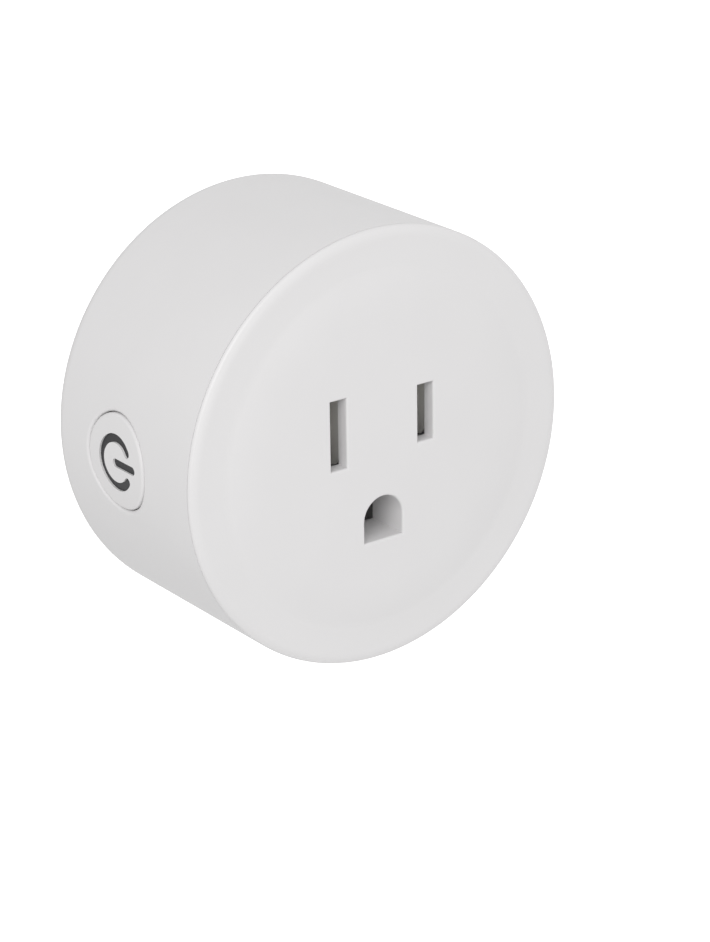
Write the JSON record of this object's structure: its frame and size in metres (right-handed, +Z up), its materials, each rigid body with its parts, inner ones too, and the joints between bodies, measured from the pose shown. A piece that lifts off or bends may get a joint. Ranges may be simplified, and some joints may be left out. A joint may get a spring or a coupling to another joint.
{
  "type": "smart plug",
  "caption": "Drum-shaped smart plug with a grounded outlet on its front, a flush power button on its side, and two blades and a ground pin on its back.",
  "frame": {"origin": "centre of the rear face, where it rests on the wall plate", "axes": "+Y into the wall along the blades, +Z up, +X to the right of someone facing the outlet"},
  "size_m": [0.0538, 0.0503, 0.0538],
  "materials": {
    "shell_white": "satin moulded polycarbonate",
    "button_white": "satin moulded polycarbonate",
    "symbol_grey": "smoked translucent light guide",
    "nickel_plate": "bright nickel plate on brass",
    "contact_metal": "tin plate on phosphor bronze",
    "bare_copper": "tinned copper strip",
    "carrier_grey": "glass-filled nylon",
    "retainer_ivory": "moulded nylon",
    "screw_steel": "zinc plate",
    "board_green": "solder mask on fibreglass",
    "radio_board_black": "solder mask on fibreglass",
    "pin_gold": "gold flash",
    "relay_black": "moulded",
    "bobbin_white": "moulded",
    "enamel_copper": "enamelled wire",
    "soft_iron": "zinc plate",
    "silver_contact": "silver alloy on bronze",
    "switch_black": "moulded",
    "switch_steel": "pressed tin plate",
    "plunger_grey": "moulded",
    "led_lens": "clear epoxy",
    "capacitor_sleeve": "printed sleeve, unprinted here",
    "ferrite": "sintered",
    "varistor_blue": "epoxy dip",
    "resistor_coat": "flameproof coat",
    "chip_black": "moulded epoxy",
    "shield_tin": "pressed tin plate"
  },
  "bodies": {
    "casing": {"front_cover": "shell_white", "housing": "shell_white", "line_blade": "nickel_plate", "neutral_blade": "nickel_plate", "ground_pin": "nickel_plate", "blade_retainer": "retainer_ivory", "retainer_screws": "screw_steel", "line_contact": "contact_metal", "neutral_contact": "contact_metal", "ground_contact": "contact_metal", "ground_strap": "bare_copper", "neutral_busbar": "bare_copper", "contact_carrier": "carrier_grey", "carrier_screws": "screw_steel", "power_board": "board_green", "board_screws": "screw_steel", "relay_case": "relay_black", "relay_base": "relay_black", "relay_bobbin": "bobbin_white", "relay_coil": "enamel_copper", "relay_core": "soft_iron", "relay_yoke": "soft_iron", "relay_coil_pins": "pin_gold", "relay_fixed_contact": "silver_contact", "switch_board": "board_green", "switch_board_pins": "pin_gold", "tact_switch_base": "switch_black", "tact_switch_cover": "switch_steel", "status_led": "led_lens", "bulk_capacitor": "capacitor_sleeve", "output_capacitor": "capacitor_sleeve", "inductor_core": "ferrite", "inductor_winding": "enamel_copper", "varistor": "varistor_blue", "fusible_resistor": "resistor_coat", "bridge_rectifier": "chip_black", "regulator_chip": "chip_black", "radio_board": "radio_board_black", "radio_pins": "pin_gold", "radio_shield": "shield_tin", "radio_chip": "chip_black"},
    "button": {"power_button": "button_white", "power_symbol": "symbol_grey"},
    "plunger": {"tact_plunger": "plunger_grey"},
    "armature": {"relay_armature": "soft_iron", "relay_moving_contact": "silver_contact"}
  },
  "joints": [
    {"name": "button_press", "type": "slide", "parent": "casing", "child": "button", "axis": [1, 0, 0], "range_m": [0, 0.00035], "stiffness_N_per_m": 800, "springref_m": -0.0005},
    {"name": "plunger_press", "type": "slide", "parent": "casing", "child": "plunger", "axis": [1, 0, 0], "range_m": [0, 0.00035]},
    {"name": "relay_pull_in", "type": "hinge", "parent": "casing", "child": "armature", "pos_m": [-0.0076, -0.02166, 0.0134], "axis": [0, 0, 1], "range_deg": [0, 3.5], "stiffness_Nm_per_rad": 0.02, "springref_deg": -4.58}
  ],
  "couplings": [
    {"joint": "plunger_press", "follows": "button_press", "ratio": 1}
  ]
}
